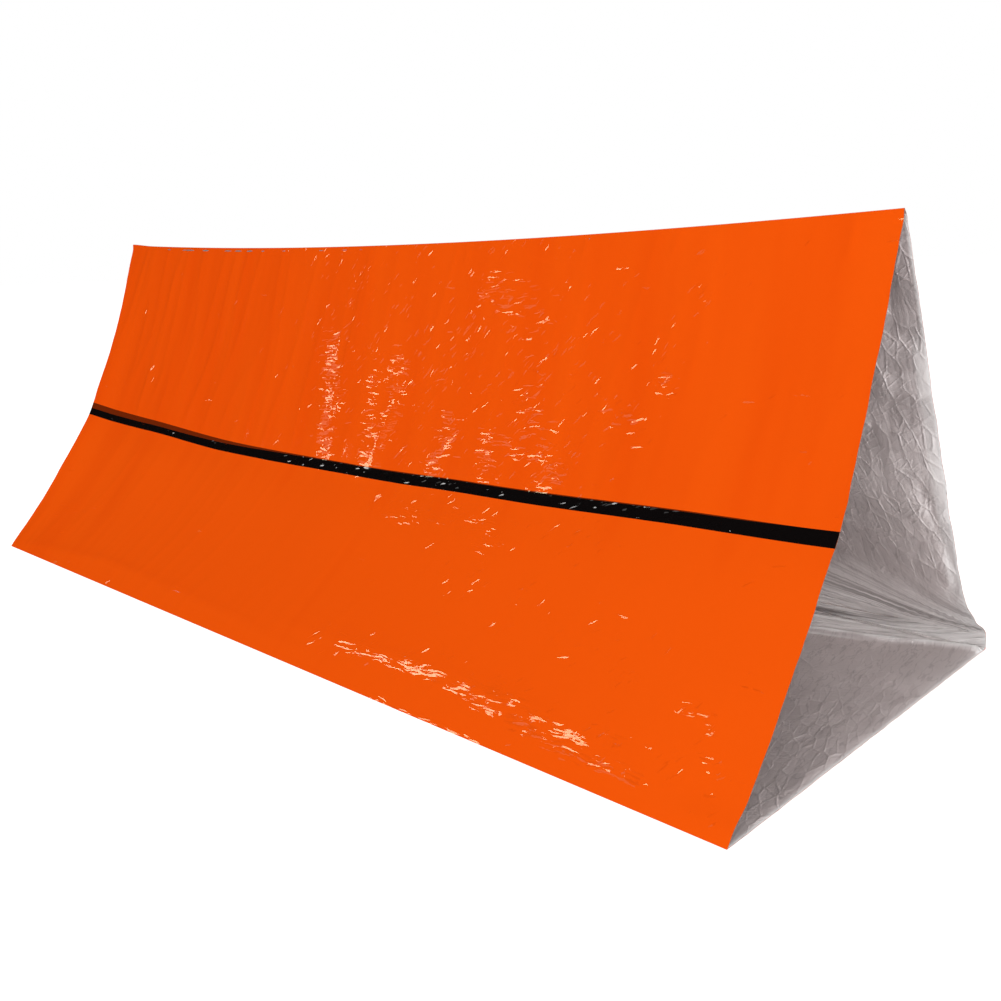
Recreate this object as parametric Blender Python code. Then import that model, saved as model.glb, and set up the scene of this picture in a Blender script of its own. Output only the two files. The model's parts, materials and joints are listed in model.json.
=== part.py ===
"""Emergency tube tent: a sleeve of orange film, silver inside, pitched as an open-ended ridge tent.

Each wall bends inwards along a crease at the lower edge of its black band. When the ridge is let
down, the lower panels lean in about the floor creases and the upper panels fold back about the
band creases. X runs along the tent, the front wall is on -Y, and the origin is the middle of the
floor's underside. All sizes are in metres.
"""
import math

import bmesh
import bpy
from mathutils import Matrix, Vector

# Driving sizes of the pitched tent
TENT_LENGTH = 2.4
FLOOR_WIDTH = 0.94
RIDGE_HEIGHT = 0.845
RIDGE_SAG = 0.027

# How much longer each wall's film is than the straight line from floor to ridge at the mouths,
# and how far up the film its band crease lies at each mouth
FRONT_SLACK = 0.0123
FRONT_CREASE_LEFT = 0.443
FRONT_CREASE_RIGHT = 0.459
FRONT_LOWER_BOW = 0.010
FRONT_UPPER_BOW = 0.013
BACK_SLACK = 0.0034
BACK_CREASE_LEFT = 0.435
BACK_CREASE_RIGHT = 0.435
BACK_LOWER_BOW = 0.018
BACK_UPPER_BOW = 0.004

# Shallow upright folds in the hanging film, deepest at the left mouth
FOLD_DEPTH = 0.004
FOLD_PITCH = 0.42
FOLD_SLANT = 0.16

# The film, its silver liner and the printed band are 0.05 mm thick and less, and thickened here
FILM = 0.0008
LINER = 0.0005
BAND = 0.0004
GAP = 0.0003

# The band starts just above its crease, and the ridge cover laps over the open tops of both walls
BAND_LIFT = 0.001
BAND_WIDTH = 0.036
RIDGE_CUT = 0.053
RIDGE_COVER = 0.065
SEAM_WIDTH = 0.012
SEAM_INSET = 0.009

# Facets along the tent, up each panel and round the ridge
COLUMNS = 27
PANEL_ROWS = 5
RIDGE_STEPS = 2

STACK = FILM + GAP + LINER
FLOOR_HINGE_OUT = FLOOR_WIDTH / 2 - STACK
FLOOR_HINGE_UP = STACK + GAP / 2


def left_normal(run):
    """Square to a direction of the section, on the outer side of a wall drawn upwards."""
    return Vector((run.y, -run.x))


class Wall:
    """One side of the tent, with its section drawn as (out, up) from the middle of the floor."""

    def __init__(self, side, slack, crease_left, crease_right, lower_bow, upper_bow, fold_phase):
        self.side = side
        self.length = (self.apex(TENT_LENGTH / 2) - self.foot()).length + slack
        self.crease_left = crease_left
        self.crease_right = crease_right
        self.lower_bow = lower_bow
        self.upper_bow = upper_bow
        self.fold_phase = fold_phase

    def apex(self, x):
        middle = 1 - (2 * x / TENT_LENGTH) ** 2
        return Vector((0, RIDGE_HEIGHT - RIDGE_SAG * middle))

    def foot(self):
        """The outer face's lowest line: the inner face turns on the floor hinge, at 45 degrees or more."""
        return Vector((FLOOR_HINGE_OUT, FLOOR_HINGE_UP)) + Vector((1, 1)).normalized() * STACK

    def crease(self, x):
        """Where the two panels meet, from their lengths: the film doesn't stretch as the ridge sags."""
        lower = self.crease_left + (self.crease_right - self.crease_left) * (x / TENT_LENGTH + 0.5)
        upper = self.length - lower
        run = self.apex(x) - self.foot()
        along = (run.length_squared + lower ** 2 - upper ** 2) / (2 * run.length)
        depth = math.sqrt(lower ** 2 - along ** 2)
        run.normalize()
        return self.foot() + run * along - left_normal(run) * depth

    def fold(self, x, t):
        """How far a fold lifts the film at a share t of the panel's height."""
        turn = 2 * math.pi * (x + FOLD_SLANT * t) / FOLD_PITCH + self.fold_phase
        fade = 0.5 - x / TENT_LENGTH
        return FOLD_DEPTH * fade * math.sin(turn) * math.sin(math.pi * t) ** 2

    def outer(self, x, low, high, bow, t):
        """A point of a panel's outer face and the face's outward direction there, in the tent's frame."""
        run = high - low
        normal = left_normal(run.normalized())
        place = low + run * t + normal * (self.fold(x, t) - bow * math.sin(math.pi * t) ** 2)
        slope = -bow * math.pi * math.sin(2 * math.pi * t) / run.length
        normal = (normal - run.normalized() * slope).normalized()
        point = Vector((x, self.side * place.x, place.y))
        return point, Vector((0, self.side * normal.x, normal.y))

    def lower_section(self, x):
        foot, crease = self.foot(), self.crease(x)
        height = (crease - foot).length
        start = GAP / height
        end = 1 - GAP / 2 / height
        shares = [start + (end - start) * row / PANEL_ROWS for row in range(PANEL_ROWS + 1)]
        return [self.outer(x, foot, crease, self.lower_bow, t) for t in shares]

    def upper_shares(self, x, from_crease=(), from_ridge=()):
        """Distances along the upper panel as shares of its height."""
        height = (self.apex(x) - self.crease(x)).length
        return [d / height for d in from_crease] + [1 - d / height for d in from_ridge]

    def upper_points(self, x, shares):
        return [self.outer(x, self.crease(x), self.apex(x), self.upper_bow, t) for t in shares]

    def upper_section(self, x):
        base = self.upper_shares(x, from_crease=(GAP / 2, BAND_LIFT, BAND_WIDTH))
        top = self.upper_shares(x, from_ridge=(RIDGE_COVER, RIDGE_CUT))
        step = (top[0] - base[-1]) / PANEL_ROWS
        middle = [base[-1] + step * row for row in range(1, PANEL_ROWS)]
        return self.upper_points(x, base + middle + top)

    def band_section(self, x):
        return self.upper_points(x, self.upper_shares(x, from_crease=(BAND_LIFT, BAND_WIDTH)))

    def ridge_section(self, x):
        return self.upper_points(x, self.upper_shares(x, from_ridge=(RIDGE_COVER, RIDGE_CUT, 0)))

    def band_hinge_end(self, x):
        crease = self.crease(x)
        return Vector((x, self.side * crease.x, crease.y))

    def floor_hinge_end(self, x):
        return Vector((x, self.side * FLOOR_HINGE_OUT, FLOOR_HINGE_UP))


def finish_material(name, colour, roughness, metallic):
    material = bpy.data.materials.new(name)
    material.use_nodes = True
    shader = material.node_tree.nodes["Principled BSDF"]
    shader.inputs["Base Color"].default_value = (*colour, 1)
    shader.inputs["Roughness"].default_value = roughness
    shader.inputs["Metallic"].default_value = metallic
    material.diffuse_color = (*colour, 1)
    return material


def hinge(name, end_point, parent=None):
    """An empty whose X axis runs along a crease, from the left mouth to the right one."""
    left, right = end_point(-TENT_LENGTH / 2), end_point(TENT_LENGTH / 2)
    turn = (right - left).to_track_quat("X", "Z").to_matrix().to_4x4()
    empty = bpy.data.objects.new(name, None)
    empty.matrix_basis = Matrix.Translation((left + right) / 2) @ turn
    if parent:
        empty.parent = parent
        empty.matrix_parent_inverse = parent.matrix_basis.inverted()
    bpy.context.scene.collection.objects.link(empty)
    return empty


def piece(name, bm, material, on=None):
    """Makes the node, and hangs it on its hinge without moving it."""
    bmesh.ops.recalc_face_normals(bm, faces=bm.faces)
    mesh = bpy.data.meshes.new(name)
    bm.to_mesh(mesh)
    bm.free()
    mesh.shade_smooth()
    mesh.set_sharp_from_angle(angle=math.radians(30))
    mesh.materials.append(material)
    node = bpy.data.objects.new(name, mesh)
    if on:
        mesh.transform(on.matrix_basis.inverted())
        node.parent = on
    bpy.context.scene.collection.objects.link(node)
    return node


def sheet(name, section, low, high, material, on):
    """A skin between two distances outside the section's outer face, from mouth to mouth."""
    lines = [section(TENT_LENGTH * (column / COLUMNS - 0.5)) for column in range(COLUMNS + 1)]
    rows = len(lines[0]) - 1
    bm = bmesh.new()
    bmesh.ops.create_grid(bm, x_segments=COLUMNS, y_segments=rows, size=0.5)
    bmesh.ops.triangulate(bm, faces=bm.faces, quad_method="FIXED")
    skin = bmesh.ops.extrude_face_region(bm, geom=bm.faces[:])
    upper = {part for part in skin["geom"] if isinstance(part, bmesh.types.BMVert)}
    for vert in bm.verts:
        column = round((vert.co.x + 0.5) * COLUMNS)
        row = round((vert.co.y + 0.5) * rows)
        point, normal = lines[column][row]
        vert.co = point + normal * (high if vert in upper else low)
    return piece(name, bm, material, on)


def slab(name, low, high, material):
    """A flat strip of film between two corners."""
    low, high = Vector(low), Vector(high)
    bm = bmesh.new()
    bmesh.ops.create_cube(bm, size=1)
    bmesh.ops.scale(bm, verts=bm.verts, vec=high - low)
    bmesh.ops.translate(bm, verts=bm.verts, vec=(low + high) / 2)
    return piece(name, bm, material)


def over_ridge(front, back):
    """The section of the cover: up the front wall, round the ridge and down the back wall."""
    def section(x):
        rise = front.ridge_section(x)
        fall = back.ridge_section(x)[::-1]
        apex, start = rise[-1]
        end = fall[0][1]
        turn = start.angle(end)
        axis = start.cross(end)
        steps = [Matrix.Rotation(turn * step / RIDGE_STEPS, 3, axis) for step in range(1, RIDGE_STEPS)]
        return rise + [(apex, spin @ start) for spin in steps] + fall
    return section


def floor(film, liner, seam):
    half_length = TENT_LENGTH / 2
    half_width = FLOOR_WIDTH / 2
    slab("floor_film", (-half_length, -half_width, 0), (half_length, half_width, FILM), film)
    slab("floor_liner", (-half_length, -half_width, FILM + GAP), (half_length, half_width, STACK), liner)
    top = STACK + GAP
    edge = half_width - SEAM_INSET
    slab("seam_strip", (-half_length, edge - SEAM_WIDTH, top), (half_length, edge, top + BAND), seam)


def wall_pieces(name, wall, film, liner, ink):
    """Both panels of a wall with their liners and the band. Returns the upper panel's hinge."""
    floor_fold = hinge(name + "_floor_fold", wall.floor_hinge_end)
    band_fold = hinge(name + "_band_fold", wall.band_hinge_end, floor_fold)
    sheet(name + "_lower_film", wall.lower_section, -FILM, 0, film, floor_fold)
    sheet(name + "_lower_liner", wall.lower_section, -STACK, -FILM - GAP, liner, floor_fold)
    sheet(name + "_upper_film", wall.upper_section, -FILM, 0, film, band_fold)
    sheet(name + "_upper_liner", wall.upper_section, -STACK, -FILM - GAP, liner, band_fold)
    sheet(name + "_band", wall.band_section, GAP, GAP + BAND, ink, band_fold)
    return band_fold


def ridge(front, back, film, liner, on):
    section = over_ridge(front, back)
    sheet("ridge_liner", section, GAP, GAP + LINER, liner, on)
    sheet("ridge_film", section, GAP + LINER + GAP, GAP + LINER + GAP + FILM, film, on)


for old in list(bpy.data.objects):
    bpy.data.objects.remove(old)

orange = finish_material("orange_film", (0.90, 0.10, 0.005), 0.22, 0)
silver = finish_material("silver_liner", (0.55, 0.53, 0.51), 0.30, 1)
black = finish_material("black_band", (0.006, 0.005, 0.005), 0.25, 0)
sealed = finish_material("sealed_seam", (0.75, 0.73, 0.71), 0.20, 1)

front_wall = Wall(-1, FRONT_SLACK, FRONT_CREASE_LEFT, FRONT_CREASE_RIGHT,
                  FRONT_LOWER_BOW, FRONT_UPPER_BOW, fold_phase=0)
back_wall = Wall(1, BACK_SLACK, BACK_CREASE_LEFT, BACK_CREASE_RIGHT,
                 BACK_LOWER_BOW, BACK_UPPER_BOW, fold_phase=2)

floor(orange, silver, sealed)
front_top = wall_pieces("front", front_wall, orange, silver, black)
wall_pieces("back", back_wall, orange, silver, black)
ridge(front_wall, back_wall, orange, silver, front_top)
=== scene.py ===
"""The looks of the emergency tube tent: glossy orange film outside, crinkled silver inside."""
import functools
import json
import math

import bmesh
import bpy
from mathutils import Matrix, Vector, noise


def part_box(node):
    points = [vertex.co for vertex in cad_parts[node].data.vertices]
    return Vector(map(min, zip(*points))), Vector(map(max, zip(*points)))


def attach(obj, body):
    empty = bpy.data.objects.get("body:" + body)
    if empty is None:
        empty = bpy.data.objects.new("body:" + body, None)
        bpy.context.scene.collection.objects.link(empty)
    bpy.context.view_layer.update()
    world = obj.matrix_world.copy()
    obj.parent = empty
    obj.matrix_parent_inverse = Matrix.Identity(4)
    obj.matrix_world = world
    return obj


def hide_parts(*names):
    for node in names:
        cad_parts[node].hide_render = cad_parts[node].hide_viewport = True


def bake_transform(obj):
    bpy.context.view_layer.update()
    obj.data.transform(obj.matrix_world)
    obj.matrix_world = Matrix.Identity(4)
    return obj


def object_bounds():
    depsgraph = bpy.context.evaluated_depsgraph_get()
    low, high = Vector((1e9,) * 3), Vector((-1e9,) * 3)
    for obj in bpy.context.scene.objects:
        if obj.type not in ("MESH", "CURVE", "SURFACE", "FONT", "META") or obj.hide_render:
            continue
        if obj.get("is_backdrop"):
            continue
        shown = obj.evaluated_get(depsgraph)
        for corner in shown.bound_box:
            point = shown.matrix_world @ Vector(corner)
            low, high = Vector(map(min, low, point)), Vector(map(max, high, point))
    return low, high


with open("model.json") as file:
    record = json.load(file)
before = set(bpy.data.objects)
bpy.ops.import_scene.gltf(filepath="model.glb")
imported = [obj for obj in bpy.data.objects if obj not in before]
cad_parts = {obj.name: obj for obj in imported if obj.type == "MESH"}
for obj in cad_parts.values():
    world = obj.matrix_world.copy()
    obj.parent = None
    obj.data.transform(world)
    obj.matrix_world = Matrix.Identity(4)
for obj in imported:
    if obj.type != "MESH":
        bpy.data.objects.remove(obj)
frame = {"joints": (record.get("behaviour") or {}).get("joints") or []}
cad_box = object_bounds()

# The camera stands off the right-hand mouth, a little below the height of the ridge, and looks along
# the front wall, so that the silver inside shows in the open end.
camera = bpy.data.objects.new("camera", bpy.data.cameras.new("camera"))
camera.location = (1.8898, -1.5933, 0.8053)
camera.rotation_euler = (1.36436, 0.02998, 0.76572)
camera.data.sensor_width = 36
camera.data.lens = 37.887
camera.data.shift_x = -0.0009
camera.data.shift_y = -0.0319
bpy.context.scene.collection.objects.link(camera)
bpy.context.scene.camera = camera
bpy.context.scene.view_settings.view_transform = "Standard"

# The studio is a white sweep under soft light from all round. A softbox off to the left is what the
# crinkles of the film catch, in front of a black drape that only reflections see. A larger softbox to
# the right of the camera lights the front wall, and a small one looks in at the photographed mouth.
FLOOR_GLOW = 0.66
WORLD_LIGHT = 0.66
SWEEP_RADIUS = 40
SWEEP_WHITE = (0.8, 0.8, 0.8, 1)
GLOW_WHITE = (1, 1, 1, 1)
DRAPE_RADIUS = 8
DRAPE_TOWARDS = Vector((-0.72, -0.45, 0.53)).normalized()
DRAPE_HALF_ANGLE = math.radians(54)
DRAPE_BLACK = (0.002, 0.002, 0.002, 1)


class Socket:
    """A shader value. Arithmetic on it adds Math nodes to its own node tree."""

    def __init__(self, nodes, output):
        self.nodes = nodes
        self.output = output

    def math(self, operation, *values):
        return self.nodes.node("ShaderNodeMath", {"operation": operation}, dict(enumerate(values)))

    def __add__(self, other):
        return self.math("ADD", self, other)

    def __sub__(self, other):
        return self.math("SUBTRACT", self, other)

    def __rsub__(self, other):
        return self.math("SUBTRACT", other, self)

    def __mul__(self, other):
        return self.math("MULTIPLY", self, other)

    def __abs__(self):
        return self.math("ABSOLUTE", self)

    def __lt__(self, other):
        """1 where it is less than the other, and 0 elsewhere."""
        return self.math("LESS_THAN", self, other)

    def sine(self):
        return self.math("SINE", self)

    __radd__ = __add__
    __rmul__ = __mul__


class Nodes:
    """A node tree that is written as expressions."""

    def __init__(self, tree):
        self.tree = tree

    def node(self, kind, settings=None, sockets=None, output=0):
        """Adds a node, sets it, fills its sockets with values or links, and gives back one output."""
        made = self.tree.nodes.new(kind)
        for key, value in (settings or {}).items():
            setattr(made, key, value)
        for key, value in (sockets or {}).items():
            self.feed(made.inputs[key], value)
        return Socket(self, made.outputs[output])

    def feed(self, socket, value):
        if isinstance(value, Socket):
            self.tree.links.new(value.output, socket)
        else:
            socket.default_value = value

    def seen_directly(self):
        """1 for what the camera sees, straight or in a reflection, and 0 for light on the object."""
        return sum(self.node("ShaderNodeLightPath", output=ray)
                   for ray in ("Is Camera Ray", "Is Glossy Ray", "Is Transmission Ray"))


def finish(name, **constants):
    """A material with one Principled shader, its constants set, and the nodes to add to it."""
    material = bpy.data.materials.new(name)
    material.use_nodes = True
    shader = material.node_tree.nodes["Principled BSDF"]
    for key, value in constants.items():
        shader.inputs[key.replace("_", " ").title().replace("Ior", "IOR")].default_value = value
    return material, shader, Nodes(material.node_tree)


def staged(name, bm, material):
    """A piece of the studio, which is no part of the tent."""
    mesh = bpy.data.meshes.new(name)
    bm.to_mesh(mesh)
    bm.free()
    mesh.materials.append(material)
    made = bpy.data.objects.new(name, mesh)
    bpy.context.scene.collection.objects.link(made)
    made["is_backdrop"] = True
    return made


cloth = finish("black_drape", base_color=DRAPE_BLACK, roughness=1, specular_ior_level=0)[0]
bm = bmesh.new()
bmesh.ops.create_uvsphere(bm, u_segments=64, v_segments=32, radius=DRAPE_RADIUS)
open_side = [face for face in bm.faces
             if face.calc_center_median().angle(DRAPE_TOWARDS) > DRAPE_HALF_ANGLE
             or face.calc_center_median().z < 0]
bmesh.ops.delete(bm, geom=open_side, context="FACES")
drape = staged("black_drape", bm, cloth)
drape.visible_camera = False
drape.visible_diffuse = False
drape.visible_shadow = False

paper, shader, nodes = finish("white_sweep", base_color=SWEEP_WHITE, roughness=1, specular_ior_level=0,
                              emission_color=GLOW_WHITE)
nodes.feed(shader.inputs["Emission Strength"], nodes.seen_directly() * FLOOR_GLOW)
bm = bmesh.new()
bmesh.ops.create_circle(bm, cap_ends=True, segments=64, radius=SWEEP_RADIUS)
staged("sweep", bm, paper)

world = bpy.data.worlds.new("studio")
bpy.context.scene.world = world
world.use_nodes = True
nodes = Nodes(world.node_tree)
surroundings = world.node_tree.nodes["Background"]
surroundings.inputs["Color"].default_value = GLOW_WHITE
nodes.feed(surroundings.inputs["Strength"], nodes.seen_directly() * (1 - WORLD_LIGHT) + WORLD_LIGHT)


def softbox(name, place, target, size, power):
    lamp = bpy.data.objects.new(name, bpy.data.lights.new(name, "AREA"))
    lamp.data.shape = "SQUARE"
    lamp.data.size = size
    lamp.data.energy = power
    lamp.location = place
    lamp.rotation_euler = (Vector(target) - Vector(place)).to_track_quat("-Z", "Y").to_euler()
    bpy.context.scene.collection.objects.link(lamp)


softbox("left_softbox", place=(-3.17, -3.07, 0.93), target=(0.2, -0.1, 0.6), size=0.8, power=29)
softbox("right_softbox", place=(3.4, -3.4, 2.6), target=(0.3, -0.2, 0.4), size=1.8, power=64)
softbox("mouth_softbox", place=(4.0, -1.5, 0.45), target=(0.9, 0.3, 0.15), size=1.0, power=17)

# The front wall's film is one side of the sleeve: polyethylene printed orange, folded out of the
# floor, bent in at the black band and carried on over the ridge onto the back wall.
floor_low, floor_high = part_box("floor_film")
TENT_LENGTH = floor_high.x - floor_low.x
HALF_WIDTH = floor_high.y
MOUTH = 0.5 * TENT_LENGTH
RIDGE_HEIGHT = 0.845
RIDGE_SAG = 0.027
RIDGE_NIB = 0.003
NIB_REACH = 0.12
FOOT_OUT = 0.0008
FOOT_UP = 0.0006
CREASE_RADIUS = 0.025
FILM = 0.0004
CELL_ALONG = 0.006
CELL_UP = 0.01
HALF_STEP = 0.0015
RIDGE_STEPS = (-0.003, -0.0015, -0.0007, 0, 0.0007, 0.0015, 0.003)
RIDGE_CLEAR = 0.005
RAGGED = 0.0012
RIDGE_LAP = 0.016
RIDGE_LIFT = 0.0011
LIFT_RUN = 0.03
MOUTH_REACH = 0.22
FOLD_DEPTH = 0.004
FOLD_PITCH = 0.42
FOLD_SLANT = 0.16
FOLD_WOBBLE = 0.006
HANGING_DEPTH = 0.0030
HANGING_FINE = 0.0008
HANGING_SLANT = 0.2
CALM_BELOW_BAND = 0.05
CALM_ABOVE_BAND = 0.12
BLUNT_FROM = 0.20
BLUNT_FULL = 0.02
HELD_AT_RIDGE = 0.01
HELD_AT_FOOT = (-0.004, 0.03)


def eased(low, high, value):
    """0 up to low and 1 from high on, with a smooth step between them."""
    share = min(max((value - low) / (high - low), 0), 1)
    return share * share * (3 - 2 * share)


def through(points, value):
    """A smooth curve's height at value, through points given as (value, height)."""
    for (start, low), (end, high) in zip(points, points[1:]):
        if value < end:
            return low + (high - low) * eased(start, end, value)
    return points[-1][1]


def chain(points, reach):
    """Measures how far a place lies from a chain of points, and the share of the chain passed there."""
    runs = [(Vector(start), Vector(end) - Vector(start)) for start, end in zip(points, points[1:])]
    low_x, high_x = min(x for x, up in points) - reach, max(x for x, up in points) + reach
    low_up, high_up = min(up for x, up in points) - reach, max(up for x, up in points) + reach

    def measure(x, up):
        if not (low_x < x < high_x and low_up < up < high_up):
            return reach, 0
        best = (reach, 0)
        place = Vector((x, up))
        for index, (start, run) in enumerate(runs):
            share = min(max((place - start).dot(run) / run.length_squared, 0), 1)
            best = min(best, ((place - start - run * share).length, (index + share) / len(runs)))
        return best
    return measure


def crease_fold(points, width, height):
    """A long sharp fold in the film that dies out at both ends."""
    reach = 5 * width
    measure = chain(points, reach)

    def lift(x, up):
        away, share = measure(x + FOLD_WOBBLE * noise.noise(Vector((x, up, 3)) * 9), up)
        if away >= reach:
            return 0
        return height * math.exp(-away / width) * math.sin(math.pi * share) ** 0.5
    return lift


def upright_folds(x, up):
    """Narrow folds that hang from the ridge, sharp on their crests."""
    turned = Vector(((x - HANGING_SLANT * up) * 11, up * 1.6, 2))
    crest = 1 - 2 * abs(noise.noise(turned))
    fine = 1 - 2 * abs(noise.noise(turned * 2.3))
    return HANGING_DEPTH * crest * abs(crest) + HANGING_FINE * fine


def mid_length(x):
    """1 half way along the tent and 0 at its mouths, in a parabola."""
    return 1 - (2 * x / TENT_LENGTH) ** 2


def evenly(low, high, pitch):
    """Places from low to high, both taken in, about a pitch apart."""
    count = round((high - low) / pitch)
    return [low + (high - low) * step / count for step in range(count + 1)]


class Wall:
    """One side of the tent. Its section is drawn as (out, up), by the distance up the film."""

    def __init__(self, side, slack, crease, lower_bow, upper_bow, left_edge, right_edge, fold_phase, folds,
                 blunt=0):
        self.side = side
        self.blunt = blunt
        self.foot = Vector((HALF_WIDTH + FOOT_OUT, FOOT_UP))
        self.length = (self.apex(MOUTH) - self.foot).length + slack
        self.crease = crease
        self.lower_bow = lower_bow
        self.upper_bow = upper_bow
        self.left_edge = left_edge
        self.right_edge = right_edge
        self.fold_phase = fold_phase
        self.folds = folds

    def apex(self, x):
        """The ridge at x, which sags between the mouths and turns up a little at the left one."""
        nib = RIDGE_NIB * eased(MOUTH - NIB_REACH, MOUTH, -x)
        return Vector((0, RIDGE_HEIGHT - RIDGE_SAG * mid_length(x) + nib))

    def lower_length(self, x):
        return through(self.crease, x)

    @functools.lru_cache(maxsize=None)
    def section(self, x):
        """The film's line at x before it is folded, as a function of the distance up it."""
        lower = self.lower_length(x)
        upper = self.length - lower
        apex = self.apex(x)
        run = apex - self.foot
        along = (run.length_squared + lower ** 2 - upper ** 2) / (2 * run.length)
        depth = math.sqrt(lower ** 2 - along ** 2)
        run.normalize()
        crease = self.foot + run * along - Vector((run.y, -run.x)) * depth
        low_run = (crease - self.foot).normalized()
        high_run = (apex - crease).normalized()
        low_normal = Vector((low_run.y, -low_run.x))
        high_normal = Vector((high_run.y, -high_run.x))

        def line(distance):
            beyond = distance - lower
            below = (beyond - math.hypot(beyond, CREASE_RADIUS)) / 2
            point = crease + low_run * below + high_run * (beyond - below)
            if beyond < 0:
                return point - low_normal * self.lower_bow * math.sin(math.pi * distance / lower) ** 2
            return point - high_normal * self.upper_bow * math.sin(math.pi * min(beyond / upper, 1)) ** 2
        return line

    def line(self, x, up):
        """The same line carried on over the ridge onto the other wall."""
        if up <= self.length:
            return self.section(x)(up)
        beyond = self.across.section(x)(self.across.length + self.length - up)
        return Vector((-beyond.x, beyond.y))

    def shape(self, x, up):
        """How far the folds and the wavy mouths lift the film off its section.

        The upright folds are strongest above the band, towards the left mouth. The bow of a blunt wall
        leaves room, under the ridge at mid-length, for the other wall as the ridge is let down.
        """
        left = eased(MOUTH - MOUTH_REACH, MOUTH, -x)
        right = eased(MOUTH - MOUTH_REACH, MOUTH, x)
        lift = left * through(self.left_edge, up) + right * through(self.right_edge, up)
        share = up / self.length
        turn = 2 * math.pi * (x + FOLD_SLANT * share) / FOLD_PITCH + self.fold_phase
        lift += FOLD_DEPTH * (0.5 - x / TENT_LENGTH) * math.sin(turn) * math.sin(math.pi * share) ** 2
        lower = self.lower_length(x)
        panel = eased(lower - CALM_BELOW_BAND, lower + CALM_ABOVE_BAND, up)
        loose = (0.35 + 0.65 * eased(-0.5, 0.7, -x)) * (0.25 + 0.75 * panel)
        lift += loose * upright_folds(x, up)
        lift += self.blunt * mid_length(x) * eased(self.length - BLUNT_FROM, self.length - BLUNT_FULL, up)
        lift += sum(fold(x, up) for fold in self.folds)
        return lift * eased(0, HELD_AT_RIDGE, self.length - up) * eased(*HELD_AT_FOOT, up)

    def point(self, x, up, lift):
        """Where the film lies, in the tent's own frame, when it is lifted off its folded shape."""
        run = (self.line(x, up + HALF_STEP) - self.line(x, up - HALF_STEP)).normalized()
        if up <= self.length:
            lift += self.shape(x, up)
        else:
            lift += self.across.shape(x, self.across.length + self.length - up)
        place = self.line(x, up) + Vector((run.y, -run.x)) * lift
        return Vector((x, self.side * place.x, place.y))

    def rows(self, low, high):
        """Distances up the film for a sheet's rows, which crowd together where it turns over the ridge."""
        even = evenly(low, high, CELL_UP)
        if high < self.length:
            return even
        turn = [self.length + step for step in RIDGE_STEPS]
        return sorted([up for up in even if abs(up - self.length) > RIDGE_CLEAR] + turn)


front = Wall(
    side=-1, slack=0.0123, lower_bow=0.010, upper_bow=0.013,
    crease=[(-1.2, 0.446), (-0.9, 0.4445), (-0.5, 0.4385), (0, 0.4465), (0.4, 0.4535), (0.9, 0.459),
            (1.2, 0.4565)],
    left_edge=[(0, 0), (0.09, -0.003), (0.25, -0.002), (0.40, -0.008), (0.50, -0.010),
               (0.60, -0.008), (0.70, -0.004), (0.98, -0.004)],
    right_edge=[(0, 0.004), (0.07, -0.007), (0.14, -0.005), (0.24, 0.002), (0.33, 0), (0.42, 0.002),
                (0.52, -0.005), (0.62, 0), (0.72, 0.004), (0.83, -0.001), (0.98, -0.004)],
    fold_phase=0,
    folds=[
        crease_fold([(-0.92, 0.98), (-0.93, 0.80), (-0.975, 0.50)], 0.012, 0.0022),
        crease_fold([(-0.60, 0.98), (-0.63, 0.80), (-0.71, 0.52)], 0.012, 0.0020),
        crease_fold([(-0.37, 0.98), (-0.375, 0.85), (-0.39, 0.52)], 0.010, 0.0020),
        crease_fold([(-0.06, 0.98), (-0.07, 0.90), (-0.12, 0.62), (-0.11, 0.48)], 0.016, 0.0030),
        crease_fold([(0.06, 0.74), (0.10, 0.62), (0.05, 0.47)], 0.016, 0.0030),
        crease_fold([(-1.19, 0.01), (-1.04, 0.03), (-0.66, 0.06), (-0.12, 0.05), (0.20, 0.03)],
                    0.018, 0.005),
        crease_fold([(0.05, 0.075), (0.31, 0.082), (0.46, 0.090), (0.59, 0.093), (0.68, 0.078),
                     (0.79, 0.067), (0.86, 0.053), (1.10, 0.048)], 0.018, 0.0042),
        crease_fold([(0.60, 0.108), (0.76, 0.091), (0.84, 0.081), (0.94, 0.068)], 0.012, 0.0024),
        crease_fold([(0.27, 0.98), (0.26, 0.93)], 0.006, 0.002),
        crease_fold([(0.594, 0.98), (0.58, 0.93)], 0.006, 0.002),
        crease_fold([(0.80, 0.98), (0.79, 0.92)], 0.006, 0.002),
        crease_fold([(1.12, 0.98), (1.125, 0.90)], 0.006, 0.002),
    ])
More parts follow.
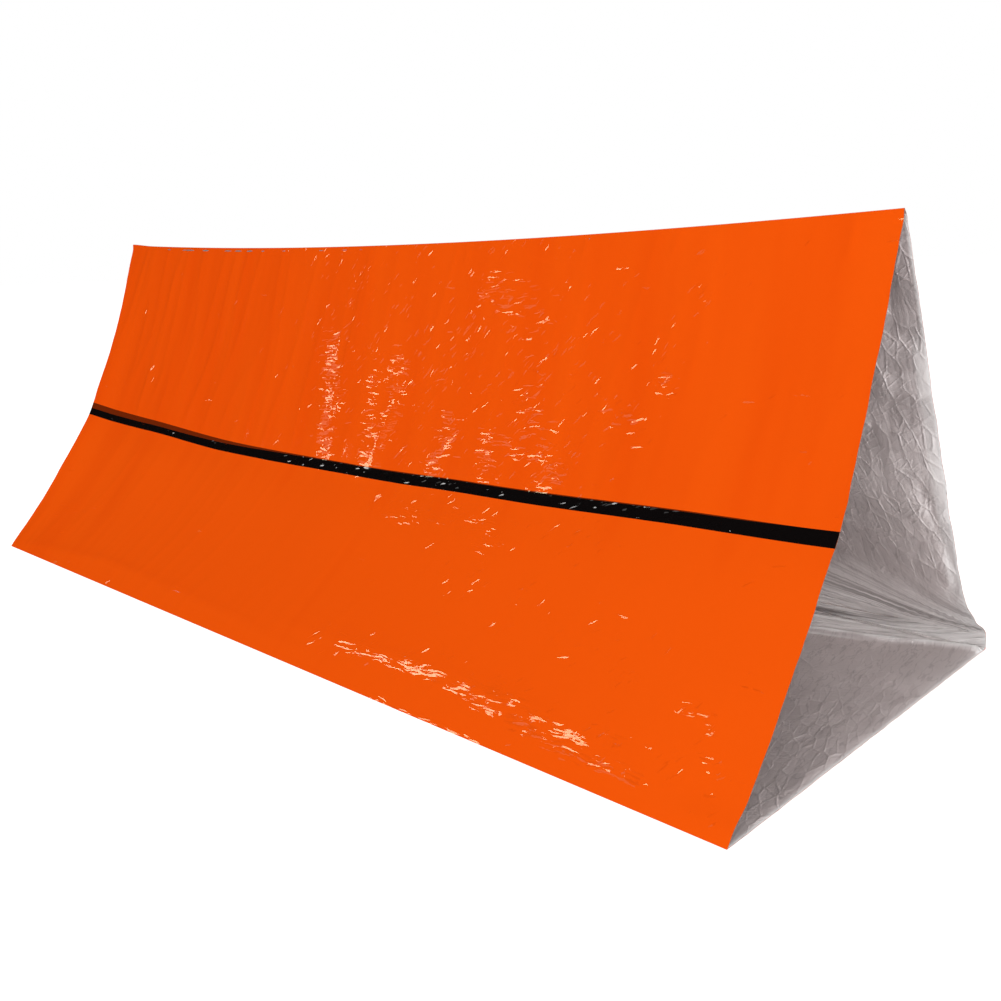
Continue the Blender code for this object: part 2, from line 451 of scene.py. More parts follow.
back = Wall(
    side=1, slack=0.0034, lower_bow=0.018, upper_bow=0.004,
    crease=[(-1.2, 0.435), (-0.3, 0.439), (0.5, 0.432), (1.2, 0.435)],
    left_edge=[(0, 0.010), (0.03, 0.008), (0.12, -0.004), (0.30, -0.002), (0.45, 0.003), (0.75, 0.004),
               (0.98, 0.002)],
    right_edge=[(0, 0.014), (0.03, 0.018), (0.10, -0.002), (0.17, -0.010), (0.25, -0.009),
                (0.32, -0.003), (0.39, -0.004), (0.46, 0.004), (0.52, 0.003), (0.58, 0.006),
                (0.64, 0.004), (0.72, 0.007), (0.81, 0.006), (0.88, 0.003), (0.98, 0.002)],
    fold_phase=2, blunt=0.011,
    folds=[
        crease_fold([(-0.30, 0.96), (-0.36, 0.80), (-0.42, 0.52)], 0.014, 0.0025),
        crease_fold([(0.45, 0.96), (0.42, 0.80), (0.40, 0.55)], 0.014, 0.0025),
        crease_fold([(1.19, 0.02), (1.02, 0.05), (0.66, 0.07), (0.20, 0.05)], 0.016, 0.004),
        crease_fold([(-1.19, 0.02), (-0.95, 0.06), (-0.50, 0.08), (0.0, 0.05)], 0.016, 0.004),
        crease_fold([(1.13, 0.95), (1.155, 0.86), (1.15, 0.76)], 0.010, 0.0040),
        crease_fold([(1.12, 0.77), (1.16, 0.755), (1.20, 0.735)], 0.009, 0.0030),
        crease_fold([(1.04, 0.59), (1.10, 0.592), (1.17, 0.59)], 0.009, 0.0026),
        crease_fold([(1.15, 0.46), (1.171, 0.42), (1.183, 0.33), (1.194, 0.24), (1.165, 0.14)],
                    0.010, 0.0040),
    ])
front.across = back
back.across = front


def sheet(name, across, lay, marks, thickness, inward, material, edge_material):
    """A thin closed shell as long as the tent, with a row of cells at each distance across it.

    lay(x, distance) gives where a point lies and where it was on the flat film, and each mark gives how
    strong one of the material's patterns is there.
    """
    columns = round(TENT_LENGTH / CELL_ALONG)
    rows = len(across) - 1
    bm = bmesh.new()
    bmesh.ops.create_grid(bm, x_segments=columns, y_segments=rows, size=0.5, calc_uvs=False)
    bm.verts.index_update()
    layers = {mark: bm.verts.layers.float.new(mark) for mark in marks}
    flat = {}
    for vert in bm.verts:
        column = round((vert.co.x + 0.5) * columns)
        x = TENT_LENGTH * (column / columns - 0.5)
        distance = across[round((vert.co.y + 0.5) * rows)]
        vert.co, flat[vert.index] = lay(x, distance)
        if column in (0, columns):
            vert.co.x += RAGGED * noise.noise(Vector((distance * 35, x, 0)))
        for mark, strength in marks.items():
            vert[layers[mark]] = strength(x, distance)
    uv = bm.loops.layers.uv.new("film")
    for face in bm.faces:
        face.smooth = True
        for loop in face.loops:
            loop[uv].uv = flat[loop.vert.index]
    for edge in bm.edges:
        edge.smooth = not edge.is_boundary
    if inward:
        bmesh.ops.reverse_faces(bm, faces=bm.faces)
    mesh = bpy.data.meshes.new(name)
    bm.to_mesh(mesh)
    bm.free()
    mesh.materials.append(material)
    mesh.materials.append(edge_material)
    made = bpy.data.objects.new(name, mesh)
    bpy.context.scene.collection.objects.link(made)
    shell = made.modifiers.new("thickness", "SOLIDIFY")
    shell.thickness = thickness
    shell.offset = -1
    shell.material_offset_rim = 1
    return made


def hung(wall, lift):
    """How a sheet lies on a wall, lifted off the film's own place."""
    def lay(x, up):
        return wall.point(x, up, lift(x, up)), (x, up - wall.lower_length(x))
    return lay


def bend_at_band(made, name):
    """Looks up the joint where the film bends over some 80 mm about the band's lower edge as the ridge is
    let down, and bakes the sheet's place into its mesh. The sheet itself is not bent here.
    """
    joint = next(j for j in frame["joints"] if j["name"] == name + "_band_fold")
    middle = Vector(joint["pos_m"])
    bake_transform(made)


def film_place(nodes):
    """Where a point lies on the flat film, in metres: along the tent, and up from the band's edge."""
    return nodes.node("ShaderNodeUVMap", {"uv_map": "film"})


def mark(nodes, name):
    return nodes.node("ShaderNodeAttribute", {"attribute_name": name}, output="Fac")


def noise_at(nodes, place, scale, detail=2, roughness=0.5):
    return nodes.node("ShaderNodeTexNoise", {}, {
        "Vector": place, "Scale": scale, "Detail": detail, "Roughness": roughness})


def scaled(nodes, vector, amount):
    return nodes.node("ShaderNodeVectorMath", {"operation": "SCALE"}, {0: vector, "Scale": amount})


def summed(nodes, first, second):
    return nodes.node("ShaderNodeVectorMath", {"operation": "ADD"}, {0: first, 1: second})


def part_of(nodes, vector, axis):
    return nodes.node("ShaderNodeSeparateXYZ", {}, {"Vector": vector}, output=axis)


def moved(nodes, place, scale, amount):
    """A place pushed about by noise, so that a pattern on it looks crumpled and not drawn."""
    push = nodes.node("ShaderNodeTexNoise", {}, {"Vector": place, "Scale": scale, "Detail": 3},
                      output="Color")
    centred = summed(nodes, push, (-0.5, -0.5, -0.5))
    return summed(nodes, place, scaled(nodes, centred, amount))


def cells(nodes, place, length, width, turn=0):
    """A place counted in cells of a length and a width, which are turned by an angle."""
    return nodes.node("ShaderNodeMapping", {"vector_type": "TEXTURE"}, {
        "Vector": place, "Rotation": (0, 0, turn), "Scale": (length, width, 1)})


def swells(nodes, place, scale):
    """Smooth noise about 0, for a bump's height."""
    return noise_at(nodes, place, scale, detail=1, roughness=0.55) - 0.5


def ranged(nodes, value, low, high, at_low, at_high):
    return nodes.node("ShaderNodeMapRange", {}, {"Value": value, 1: low, 2: high, 3: at_low, 4: at_high})


def mixed(nodes, share, first, second):
    return nodes.node("ShaderNodeMix", {"data_type": "RGBA"}, {0: share, 6: first, 7: second}, output=2)


def tilts(nodes, cell, tilt_along, tilt_up, lean=(0, 0, 0), share=1):
    """The tilt of small flat facets: a lean, and at random up to each limit, in a share of the cells."""
    colour = nodes.node("ShaderNodeTexVoronoi", {"voronoi_dimensions": "2D"}, {
        "Vector": cell, "Scale": 1}, output="Color")
    tilt = nodes.node("ShaderNodeVectorMath", {"operation": "MULTIPLY_ADD"}, {
        0: colour, 1: (2 * tilt_along, 2 * tilt_up, 0), 2: (-tilt_along, -tilt_up, 0)})
    return scaled(nodes, summed(nodes, tilt, lean), part_of(nodes, colour, "Z") < share)


def patchy(nodes, place, scale, low):
    """A share that goes from low to 1 in patches."""
    return ranged(nodes, noise_at(nodes, place, scale), 0.42, 0.60, low, 1)


def faceted(nodes, shader, tilt, height, distance):
    """Turns the surface by a tilt, and adds a bump to it."""
    colour = nodes.node("ShaderNodeVectorMath", {"operation": "MULTIPLY_ADD"}, {
        0: tilt, 1: (0.5, 0.5, 0.5), 2: (0.5, 0.5, 1)})
    turned = nodes.node("ShaderNodeNormalMap", {"uv_map": "film"}, {"Color": colour})
    normal = nodes.node("ShaderNodeBump", {}, {"Height": height, "Distance": distance, "Normal": turned})
    nodes.feed(shader.inputs["Normal"], normal)


ORANGE = (0.90, 0.096, 0.003, 1)
# The second orange is the film under painted shade.
SHADED_ORANGE = (0.83, 0.073, 0.002, 1)
OVERPRINT = (0.16, 0.018, 0.002, 1)
OVERPRINT_LEFT = 0.012
OVERPRINT_RIGHT = 0.002
INK_HEIGHT = 0.0245
CUT_EDGE_BROWN = (0.36, 0.16, 0.09, 1)

orange, shader, nodes = finish("orange_film", roughness=0.05, specular_ior_level=0.25,
                               specular_tint=(1, 0.94, 0.40, 1))
place = film_place(nodes)
along = part_of(nodes, place, "X")
above = part_of(nodes, place, "Y")
pushed = moved(nodes, place, 10, 0.035)

# The crinkles' facets lean towards the left softbox, each by where it is on the wall.
lean_up = ranged(nodes, above, 0, 0.11, -0.14, -0.26) + ranged(nodes, above, -0.03, 0, -0.19, 0)
lean = nodes.node("ShaderNodeCombineXYZ", {}, {"X": along * -0.26 + 0.045, "Y": lean_up})
crinkled = mark(nodes, "crinkle") * patchy(nodes, place, 22, 0.1)
rippled = mark(nodes, "ripple") * patchy(nodes, place, 60, 0.5)
specks = tilts(nodes, cells(nodes, pushed, 0.015, 0.0022, 0.8), 0.12, 0.20, lean, crinkled * 0.10)
ripples = tilts(nodes, cells(nodes, pushed, 0.024, 0.0024, 0.05), 0.05, 0.10, lean, rippled * 0.9)
faceted(nodes, shader, summed(nodes, specks, ripples), swells(nodes, pushed, 25), 0.0004)

# The orange carries painted shade: deeper towards the left mouth and in upright streaks standing for
# the shade of soft folds, and less of it below the band, which faces up to the light. A dark overprint
# shows past the band's upper edge.
shade = ranged(nodes, noise_at(nodes, cells(nodes, place, 0.09, 1), 1), 0.35, 0.75, 0, 0.55)
shade += ranged(nodes, along, -MOUTH, 0, 0.35, 0)
shade += ranged(nodes, above, -0.1, 0.05, -0.4, 0)
half_print = 0.5 * (ranged(nodes, along, -MOUTH, -0.1, OVERPRINT_LEFT, OVERPRINT_RIGHT) + INK_HEIGHT)
printed = abs(above - half_print) < half_print
nodes.feed(shader.inputs["Base Color"], mixed(
    nodes, printed, mixed(nodes, shade, ORANGE, SHADED_ORANGE), OVERPRINT))

cut_edge = finish("cut_edge", base_color=CUT_EDGE_BROWN, roughness=0.6, specular_ior_level=0.1)[0]

PATCH_WOBBLE = 0.02
MOST_CRUMPLED = 1.2


def crumpled(patches, spread):
    """How crumpled a wall's film is at a place: spread everywhere, and more in each patch.

    A patch is a chain of points, how far it spreads from the chain, and how crumpled it is.
    """
    patches = [(chain(points, 3 * width), width, amount) for points, width, amount in patches]

    def strength(x, up):
        wobble = noise.noise(Vector((x * 7, up * 7, 1)))
        total = spread * (0.6 + wobble)
        for measure, width, amount in patches:
            away = measure(x + PATCH_WOBBLE * wobble, up)[0]
            total += amount * math.exp(-(away / width) ** 2)
        return max(0, min(total, MOST_CRUMPLED))
    return strength


front_specks = crumpled([
    ([(-0.10, 0.80), (0.20, 0.74), (0.55, 0.70)], 0.17, 0.95),
    ([(0.05, 0.55), (0.62, 0.52)], 0.06, 0.6),
    ([(0.58, 0.56), (0.62, 0.50)], 0.03, 0.7),
    ([(0.68, 0.65), (0.73, 0.63)], 0.03, 0.8),
    ([(0.80, 0.71), (0.86, 0.86)], 0.05, 0.8),
    ([(-0.31, 0.60), (-0.315, 0.50)], 0.02, 0.9),
    ([(0.30, 0.96), (0.57, 0.96)], 0.02, 0.9),
    ([(0.10, 0.40), (0.75, 0.40)], 0.04, 0.6),
    ([(0.42, 0.28), (0.95, 0.20)], 0.05, 0.4),
    ([(0.20, 0.08), (0.60, 0.10), (1.10, 0.07)], 0.03, 0.8),
    ([(1.07, 0.17), (1.12, 0.12), (1.155, 0.04)], 0.02, 1.0),
], 0.02)
front_ripples = crumpled([
    ([(-0.17, 0.75), (-0.13, 0.62), (-0.11, 0.49)], 0.028, 1.4),
    ([(0.08, 0.72), (0.10, 0.60), (0.04, 0.48)], 0.026, 0.9),
    ([(0.01, 0.67), (0.03, 0.55)], 0.016, 0.7),
    ([(0.28, 0.60), (0.29, 0.53), (0.26, 0.49)], 0.022, 0.8),
    ([(0.40, 0.57), (0.42, 0.51)], 0.020, 1.0),
    ([(0.60, 0.55), (0.61, 0.50), (0.58, 0.48)], 0.018, 0.7),
    ([(0.35, 0.88), (0.47, 0.82)], 0.034, 0.35),
    ([(0.48, 0.67), (0.55, 0.60)], 0.030, 0.3),
    ([(0.42, 0.57), (0.56, 0.55)], 0.016, 0.4),
    ([(0.70, 0.64), (0.78, 0.62)], 0.016, 0.5),
    ([(0.80, 0.71), (0.82, 0.70)], 0.016, 0.6),
    ([(0.16, 0.375), (0.22, 0.37)], 0.012, 0.35),
    ([(0.25, 0.385), (0.35, 0.385)], 0.014, 0.4),
    ([(0.42, 0.396), (0.50, 0.397)], 0.015, 0.45),
    ([(0.46, 0.355), (0.53, 0.360)], 0.012, 0.4),
    ([(0.28, 0.072), (0.46, 0.081), (0.59, 0.084), (0.68, 0.067), (0.79, 0.057), (0.86, 0.042),
      (1.03, 0.042)], 0.009, 0.85),
    ([(0.64, 0.096), (0.76, 0.084), (0.84, 0.074), (0.91, 0.063)], 0.007, 1.1),
    ([(0.44, 0.0), (0.72, 0.0)], 0.005, 0.7),
    ([(0.92, 0.092), (1.02, 0.094)], 0.006, 0.4),
    ([(1.05, 0.16), (1.10, 0.16), (1.12, 0.10), (1.155, 0.045)], 0.007, 0.35),
], 0)


def over_ridge(x, up):
    """The front wall's film rises off its place near the ridge, to lie over the back wall's."""
    return RIDGE_LIFT * eased(-LIFT_RUN, 0, up - front.length)


film = sheet("front_wall_film", front.rows(0, front.length + RIDGE_LAP), hung(front, over_ridge),
             {"crinkle": front_specks, "ripple": front_ripples}, FILM, False, orange, cut_edge)
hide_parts("front_lower_film", "front_upper_film", "ridge_film")
bend_at_band(film, "front")

# The front wall's lining is the sleeve's metallised inner face. It is crumpled all over from having
# been packed small, and goes over the ridge with the film that it is laminated to.
LINING = 0.0003
LINING_DEPTH = 0.0009
LINING_LAP = 0.012
LINING_FOOT = 0.003
PLEAT_DEPTH = 0.0015
FACET_DEPTH = 0.0005
TAUT_DEPTH = 0.0060
TAUT_FINE = 0.0024
TAUT_BELOW = 0.10
LOOSE_ABOVE = 0.27
FAN_FROM = 1.34
FAN_BELOW = 0.03
FLAT_AT_RIDGE = 0.03
FLAT_AT_FOOT = 0.02
FLAT_AT_MOUTH = 0.012
SILVER = (0.84, 0.78, 0.77, 1)
# The dull silver also paints shade high up, the shaded silver paints shade in the pleats and streaks, and
# the bright silver paints light on the taut streaks.
DULL_AND_SHADED_SILVER = (0.68, 0.615, 0.61, 1)
SHADED_SILVER = (0.40, 0.36, 0.355, 1)
LIT_SILVER = (1.0, 0.96, 0.95, 1)
# The bare film's colour is also used for painted highlights along the floor lining's folds.
PALE_FILM = (1.0, 0.98, 0.97, 1)
CRUMPLE_SEED = 1795697353

# Vector noise starts from the clock unless it is seeded, and the lining's crumples are made with it.
noise.seed_set(CRUMPLE_SEED)


def ridges(nodes, place, scale, detail=2):
    """Sharp creases where noise crosses its middle value."""
    return abs(noise_at(nodes, place, scale, detail) - 0.5) * 2


def crests(nodes, cell, width):
    """Narrow ridges where the cells' facets meet, 1 on the crest and 0 beside it."""
    away = nodes.node("ShaderNodeTexVoronoi", {
        "voronoi_dimensions": "2D", "feature": "DISTANCE_TO_EDGE"}, {"Vector": cell, "Scale": 1})
    return ranged(nodes, away, 0, width, 1, 0)


silver, shader, nodes = finish("silver_lining")
place = film_place(nodes)
tension = mark(nodes, "tension")
# This mark is bare film at the cuts, and painted highlight along the floor lining's folds.
pale_share = mark(nodes, "pale_share")
drawn = nodes.node("ShaderNodeCombineXYZ", {}, {"X": part_of(nodes, place, "X"), "Y": mark(nodes, "fan")})
drawn = moved(nodes, drawn, 9, 0.010)
pushed = moved(nodes, place, 26, 0.010)

# Where the lining is loose it has upright and slanting facets with a crest between each two, and
# where it is drawn taut it has long creases along the pull.
facets = cells(nodes, pushed, 0.018, 0.046, 0.25)
loose_tilt = scaled(nodes, tilts(nodes, facets, 0.05, 0.045), 1 - tension)
taut_tilt = scaled(nodes, tilts(nodes, cells(nodes, drawn, 0.08, 0.014), 0.08, 0.36), tension)
pleats = ridges(nodes, cells(nodes, pushed, 0.018, 0.11, 0.12), 1)
upright = crests(nodes, facets, 0.13) * patchy(nodes, place, 14, 0.3)
slanting = crests(nodes, cells(nodes, pushed, 0.034, 0.014, 0.6), 0.16) * patchy(nodes, pushed, 18, 0.2)
taut = ridges(nodes, cells(nodes, drawn, 0.12, 0.018), 1, detail=3)
faceted(nodes, shader, summed(nodes, loose_tilt, taut_tilt),
        (pleats * 0.8 + upright * 0.6 + slanting * 0.4) * (1 - tension) + taut * tension * 5, 0.0007)

# The metal is darker higher up, which is painted shade, and duller in random patches. The pleats are
# darkened with painted shade, and where it is taut it is painted with light and dark streaks.
dull_and_shaded = noise_at(nodes, place, 12, 3) + ranged(nodes, part_of(nodes, place, "Y"), 0, 0.25, 0, 0.9)
loose_metal = mixed(nodes, dull_and_shaded, SILVER, DULL_AND_SHADED_SILVER)
loose_metal = mixed(nodes, ranged(nodes, pleats, 0, 0.05, 0.4, 0), loose_metal, SHADED_SILVER)
streak_light_and_shade = noise_at(nodes, cells(nodes, drawn, 0.16, 0.026), 1, 5, 0.65)
streak_light_and_shade += noise_at(nodes, cells(nodes, drawn, 0.70, 0.070), 1)
streak_light_and_shade = ranged(nodes, streak_light_and_shade, 0.80, 1.02, 0, 1)
metal = mixed(nodes, tension, loose_metal, mixed(nodes, streak_light_and_shade, SHADED_SILVER, LIT_SILVER))
nodes.feed(shader.inputs["Base Color"], mixed(nodes, pale_share, metal, PALE_FILM))
nodes.feed(shader.inputs["Metallic"], (0.75 - tension * 0.60) * (1 - pale_share))
nodes.feed(shader.inputs["Roughness"], 0.40 - tension * 0.12)


def wall_fan(x, up):
    """Which of the taut streaks passes here. They spread from a point past the mouth's lower corner."""
    return (up + FAN_BELOW) / (FAN_FROM - x)


def crumple(x, y, tension, seed):
    """How far the crumpled lining stands off the film: facets, or long creases where it is drawn taut."""
    place = Vector((x, y, seed))
    place += noise.noise_vector(place * 12) * 0.02
    pleats = abs(noise.noise(Vector((place.x * 30, place.y * 4, seed))))
    loose = pleats * PLEAT_DEPTH + abs(noise.noise(place * 40)) * FACET_DEPTH
    drawn = Vector((x * 3, 20 * wall_fan(x, y), seed))
    taut = abs(noise.noise(drawn)) * TAUT_DEPTH + abs(noise.noise(drawn * 2.1)) * TAUT_FINE
    return loose + (taut - loose) * tension


def foot_tension(x, up):
    """The lining is drawn taut along the tent where it turns into the floor."""
    wobble = 0.05 * noise.noise(Vector((x * 3, up * 6, 9)))
    return 1 - eased(TAUT_BELOW, LOOSE_ABOVE, up + wobble)


def inside_mouths(x):
    """0 on the cut at a mouth and 1 a little way in, so that the lining meets the film at the cut."""
    return eased(0, FLAT_AT_MOUTH, MOUTH - abs(x))


def lining_lift(wall, seed):
    """How far a wall's lining lies inside its film. It lies flat on it at all four edges."""
    def lift(x, up):
        away = eased(0, FLAT_AT_RIDGE, wall.length - up) * eased(0, FLAT_AT_FOOT, up) * inside_mouths(x)
        return -LINING_DEPTH - crumple(x, up, foot_tension(x, up), seed) * away
    return lift


front_lift = lining_lift(front, 7)
lining = sheet("front_wall_lining", front.rows(LINING_FOOT, front.length + LINING_LAP),
               hung(front, lambda x, up: over_ridge(x, up) + front_lift(x, up)),
               {"tension": foot_tension, "fan": wall_fan, "pale_share": lambda x, up: 0}, LINING, True,
               silver, cut_edge)
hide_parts("front_lower_liner", "front_upper_liner", "ridge_liner")
bend_at_band(lining, "front")

# The black band is ink, printed along the wall from the crease up. It is a skin over the film, and
# bends with it.
BAND = 0.00015
BAND_CLEAR = 0.0002
BAND_ROWS = 6
INK_WIDTH = [(-1.2, 0.0195), (-0.8, 0.0195), (-0.2, INK_HEIGHT), (1.0, INK_HEIGHT), (1.2, 0.027)]
INK_WOBBLE = 0.0006
BLACK = (0.004, 0.003, 0.003, 1)
ink, shader, nodes = finish("black_ink", base_color=BLACK, roughness=0.06, specular_ior_level=0.3)
pushed = moved(nodes, film_place(nodes), 14, 0.02)
crinkled = mark(nodes, "crinkle") * patchy(nodes, pushed, 28, 0.3)
specks = tilts(nodes, cells(nodes, pushed, 0.012, 0.0022, 0.3), 0.24, 0.34, share=crinkled * 0.6)
faceted(nodes, shader, specks, swells(nodes, pushed, 25), 0.0004)


def band(name, wall, crinkles):
    """A wall's band, as a sheet whose rows are shares of the ink's width."""
    def lay(x, above):
        uneven = INK_WOBBLE * noise.noise(Vector((x * 8, above, 0)))
        up = wall.lower_length(x) + above * through(INK_WIDTH, x) + uneven
        return wall.point(x, up, BAND + BAND_CLEAR), (x, above * INK_WIDTH[-1][1])
    strength = {"crinkle": lambda x, above: crinkles(x, wall.lower_length(x) + INK_HEIGHT * above)}
    return sheet(name, evenly(0, 1, 1 / BAND_ROWS), lay, strength, BAND, wall is back, ink, ink)


front_ink = band("front_band_ink", front, crumpled([
    ([(0.62, 0.47), (0.86, 0.47)], 0.05, 0.8),
    ([(0.15, 0.47), (0.45, 0.47)], 0.05, 0.7),
    ([(-0.2, 0.47), (0.2, 0.47)], 0.05, 0.3),
], 0.2))
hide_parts("front_band")
bend_at_band(front_ink, "front")

# The back wall is the sleeve's other side, with the same film, lining and band. Its film ends just
# below the ridge, under the front wall's.
RIDGE_GAP = 0.009
BARE_EDGE = 0.003
PALE_FROM = 0.026
PALE_FULL = 0.016
PALE_ABOVE = (0.14, 0.24)
PALE_BELOW = (0.70, 0.80)
PALE = 0.4
back_specks = crumpled([
    ([(-0.40, 0.75), (-0.42, 0.52)], 0.05, 0.8),
    ([(0.40, 0.70), (0.45, 0.52)], 0.05, 0.8),
    ([(0.0, 0.88), (0.2, 0.80)], 0.06, 0.5),
    ([(-0.8, 0.16), (-0.2, 0.10), (0.3, 0.12)], 0.02, 0.8),
], 0.2)
back_ripples = crumpled([
    ([(-0.40, 0.75), (-0.42, 0.52)], 0.03, 0.8),
    ([(0.45, 0.85), (0.60, 0.76)], 0.05, 0.7),
    ([(-0.8, 0.16), (-0.2, 0.10), (0.3, 0.12)], 0.02, 0.8),
], 0.1)
film = sheet("back_wall_film", back.rows(0, back.length - RIDGE_GAP), hung(back, lambda x, up: 0),
             {"crinkle": back_specks, "ripple": back_ripples}, FILM, True, orange, cut_edge)
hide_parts("back_lower_film", "back_upper_film")
bend_at_band(film, "back")


def bare_mouth(x):
    """The metal is missing along the cut at the mouths."""
    return eased(MOUTH - 2 * BARE_EDGE, MOUTH - BARE_EDGE, abs(x))


def pale_mouth(x, up):
    """The lining is paler in a strip along the right-hand mouth, outside the long fold there, and bare at
    the cut.
    """
    strip = eased(MOUTH - PALE_FROM, MOUTH - PALE_FULL, x)
    return max(bare_mouth(x), PALE * strip * eased(*PALE_ABOVE, up) * (1 - eased(*PALE_BELOW, up)))


lining = sheet("back_wall_lining", back.rows(LINING_FOOT, back.length - RIDGE_GAP),
               hung(back, lining_lift(back, 11)),
               {"tension": foot_tension, "fan": wall_fan, "pale_share": pale_mouth},
               LINING, False, silver, cut_edge)
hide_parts("back_lower_liner", "back_upper_liner")
bend_at_band(lining, "back")

back_ink = band("back_band_ink", back, crumpled([([(0.1, 0.45), (0.5, 0.45)], 0.05, 0.6)], 0.15))
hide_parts("back_band")
bend_at_band(back_ink, "back")

# The floor is the flat part of the same sleeve, between the two folds. It lies on the ground with
# slight waves in it.
FLOOR_TOP = 0.0008
WAVE_HEIGHT = 0.0016
FLAT_AT_SIDE = 0.05
FLAT_AT_END = 0.03
BELOW_BAND = 1


def floor_wave(x, y):
    """The height of the floor's slight waves, which die out at its edges."""
    inside = eased(0, FLAT_AT_SIDE, HALF_WIDTH - abs(y)) * eased(0, FLAT_AT_END, MOUTH - abs(x))
    return WAVE_HEIGHT * inside * (0.5 + 0.5 * noise.noise(Vector((x * 5, y * 9, 20))))


def floor_flat(x, y):
    """Where a point of the floor is on the flat film, a metre below the band."""
    return x, y - BELOW_BAND


floor_sheet = sheet("floor_sheet", evenly(-HALF_WIDTH, HALF_WIDTH, CELL_UP),
                    lambda x, y: (Vector((x, y, FLOOR_TOP + floor_wave(x, y))), floor_flat(x, y)),
                    {"crinkle": lambda x, y: 0.3, "ripple": lambda x, y: 0.1},
                    FILM, False, orange, cut_edge)
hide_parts("floor_film")
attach(floor_sheet, "floor")

# The floor's lining is the same metallised face. One raised fold runs in from the corner at the
# photographed mouth, where the back wall pulls on it, and the lining behind the fold is drawn taut.
FLOOR_LINING_TOP = 0.0018
MOUTH_DIP = 0.0006
FLOOR_LINING_EDGE = 0.4675
FINE_FROM = 0.30
HEM = 0.006
HEM_DEPTH = 0.0018
TURN_RADIUS = 0.012
MOUTH_RADIUS = 0.002
TURN_REACH = 0.07
TURN_UP = 0.040
RAISED_FOLD = [(0.30, 0.330), (0.60, 0.335), (0.88, 0.346), (1.006, 0.376), (1.2, 0.452)]
RAISED_HEIGHT = 0.010
RAISED_WIDTH = 0.010
# The worn lines along the raised fold and the one beside it are painted highlights.
HIGHLIGHT_WIDTH = 0.006
SIDE_FOLD = [(0.30, 0.306), (0.88, 0.326), (1.02, 0.366)]
SIDE_WIDTH = 0.005
SIDE_HIGHLIGHT = 0.7
FAN_BESIDE = 0.05
STREAK_DEPTH = 0.0050
STREAK_FINE = 0.0020
HEM_PITCH = 0.002
FLOOR_PITCH = 0.014
FINE_PITCH = 0.004
raised_fold = chain(RAISED_FOLD, 0.05)
side_fold = chain(SIDE_FOLD, 0.05)


def floor_tension(x, y):
    """The lining is taut behind the raised fold, towards the photographed mouth."""
    return eased(-0.02, 0.03, y - through(RAISED_FOLD, x)) * eased(0.2, 0.6, x)


def floor_bare_and_highlit(x, y):
    """The metal is missing at the mouths. Along the raised fold and one beside it, a painted highlight in
    broken lines turns the lining pale.
    """
    away, share = raised_fold(x, y)
    highlight_strength = eased(-0.8, 0.2, noise.noise(Vector((x * 20, 0, 5))))
    crest = math.exp(-(away / HIGHLIGHT_WIDTH) ** 2) * eased(0, 0.5, share) * highlight_strength
    away, share = side_fold(x, y)
    beside = math.exp(-(away / SIDE_WIDTH) ** 2) * math.sin(math.pi * share)
    return max(bare_mouth(x), crest, SIDE_HIGHLIGHT * beside)


def floor_fan(x, y):
    """Which of the taut streaks passes here. They spread from a point past the rear corner."""
    return (HALF_WIDTH + FAN_BESIDE - y) / (FAN_FROM - x)


def taut_streaks(x, across):
    """Long creases that spread from the rear corner of the photographed mouth."""
    fan = Vector((x * 2.5, 26 * floor_fan(x, across), 8))
    return STREAK_DEPTH * abs(noise.noise(fan)) + STREAK_FINE * abs(noise.noise(fan * 2.3))


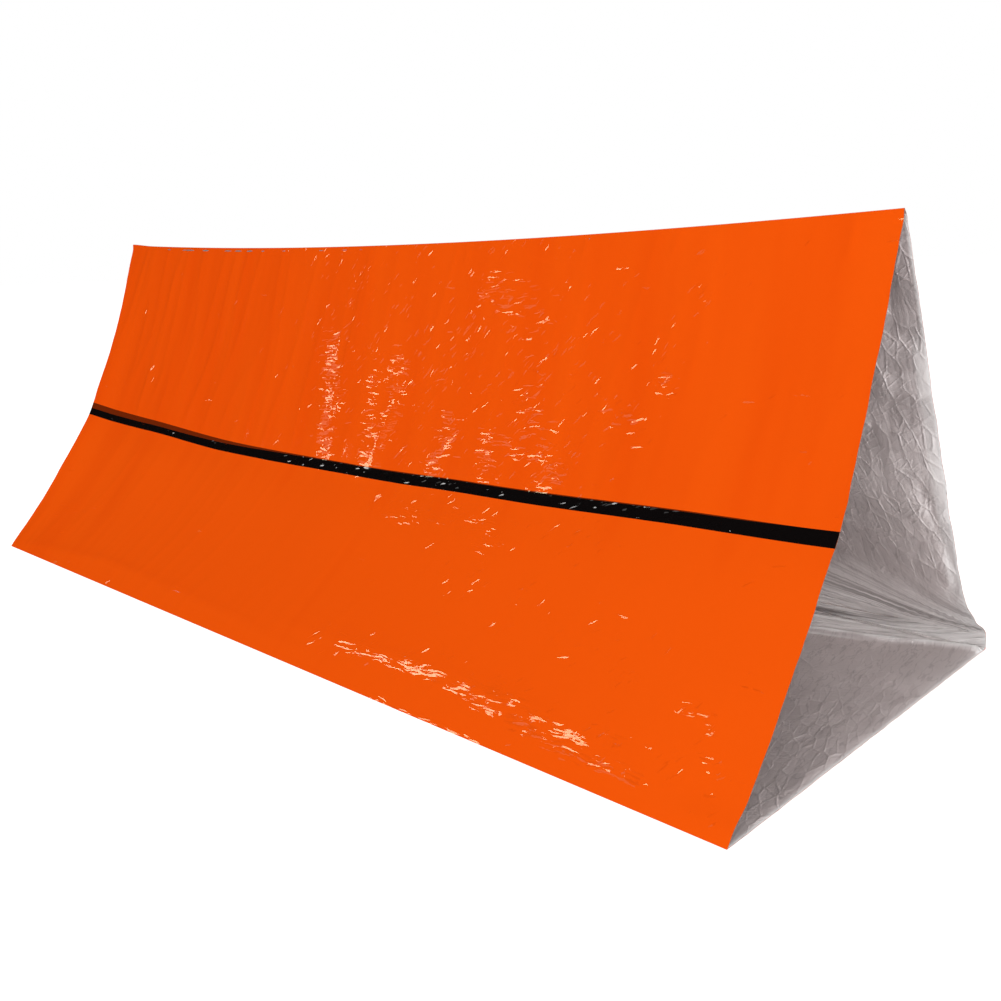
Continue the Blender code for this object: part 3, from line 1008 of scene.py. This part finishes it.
def floor_lining_place(x, across):
    """The lining turns up inside the front wall in a hem, and up the back wall in a rounded corner."""
    if across < -FLOOR_LINING_EDGE:
        return front.point(x, -across - FLOOR_LINING_EDGE, -HEM_DEPTH)
    away, share = raised_fold(x, across)
    taut = floor_tension(x, across)
    height = RAISED_HEIGHT * math.exp(-(away / RAISED_WIDTH) ** 2) * eased(0, 0.8, share)
    height += crumple(x, across, 0, 15) * (1 - taut) + taut_streaks(x, across) * taut
    height *= inside_mouths(x) * eased(0, 0.03, FLOOR_LINING_EDGE + across)
    level = FLOOR_LINING_TOP - MOUTH_DIP * (1 - inside_mouths(x)) + floor_wave(x, across)
    if across < FINE_FROM:
        return Vector((x, across, level + height))
    radius = MOUTH_RADIUS + TURN_RADIUS * eased(0, TURN_REACH, MOUTH - abs(x))
    beyond = across - FLOOR_LINING_EDGE
    below = (beyond - math.hypot(beyond, radius)) / 2
    climb = back.point(x, beyond - below, -HEM_DEPTH) - back.point(x, 0, -HEM_DEPTH)
    place = Vector((x, FLOOR_LINING_EDGE + below, level)) + climb
    lean = eased(-0.02, 0.02, beyond)
    return place + Vector((0, -0.8 * lean, 1 - 0.4 * lean)) * height * eased(0, 0.02, TURN_UP - beyond)


across_floor = evenly(-FLOOR_LINING_EDGE - HEM, -FLOOR_LINING_EDGE, HEM_PITCH)[:-1]
across_floor += evenly(-FLOOR_LINING_EDGE, FINE_FROM, FLOOR_PITCH)[:-1]
across_floor += evenly(FINE_FROM, FLOOR_LINING_EDGE + TURN_UP, FINE_PITCH)
floor_lining = sheet("floor_lining", across_floor,
                     lambda x, y: (floor_lining_place(x, y), floor_flat(x, y)),
                     {"tension": floor_tension, "fan": floor_fan, "pale_share": floor_bare_and_highlit}, LINING, False,
                     silver, cut_edge)
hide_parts("floor_liner")
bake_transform(floor_lining)
across_floor[-1] - across_floor[0]

# The sleeve is closed by one heat-sealed lap along the back edge of the floor. The sealing bar left
# fine ribs across it, and it stands a little proud.
seam_low, seam_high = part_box("seam_strip")
SEAM_ROWS = 8
SEAM_CROWN = 0.0010
SEAM_LIFT = 0.0009
SEALED_SILVER = (0.93, 0.90, 0.89, 1)
RIB_RADIANS_PER_METRE = 2500
seam_width = seam_high.y - seam_low.y
seal, shader, nodes = finish("sealed_seam", metallic=0.9, base_color=SEALED_SILVER, roughness=0.22)
place = film_place(nodes)
ribs = (part_of(nodes, place, "X") * RIB_RADIANS_PER_METRE).sine()
height = ribs * 0.2 + ridges(nodes, place, 60)
nodes.feed(shader.inputs["Normal"], nodes.node(
    "ShaderNodeBump", {}, {"Height": height, "Distance": 0.0005}))


def seam_place(x, y):
    """The seal lies on the floor's lining, with a slight crown across it."""
    lift = SEAM_LIFT + SEAM_CROWN * math.sin(math.pi * (y - seam_low.y) / seam_width)
    return floor_lining_place(x, y) + Vector((0, 0, lift)), (x, y)


seam = sheet("sealed_lap", evenly(seam_low.y, seam_high.y, seam_width / SEAM_ROWS), seam_place, {},
             LINING, False, seal, seal)
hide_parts("seam_strip")
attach(seam, "floor")

boxes = {"cad": cad_box, "visual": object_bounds()}
{name: [list(corner) for corner in box] for name, box in boxes.items()}
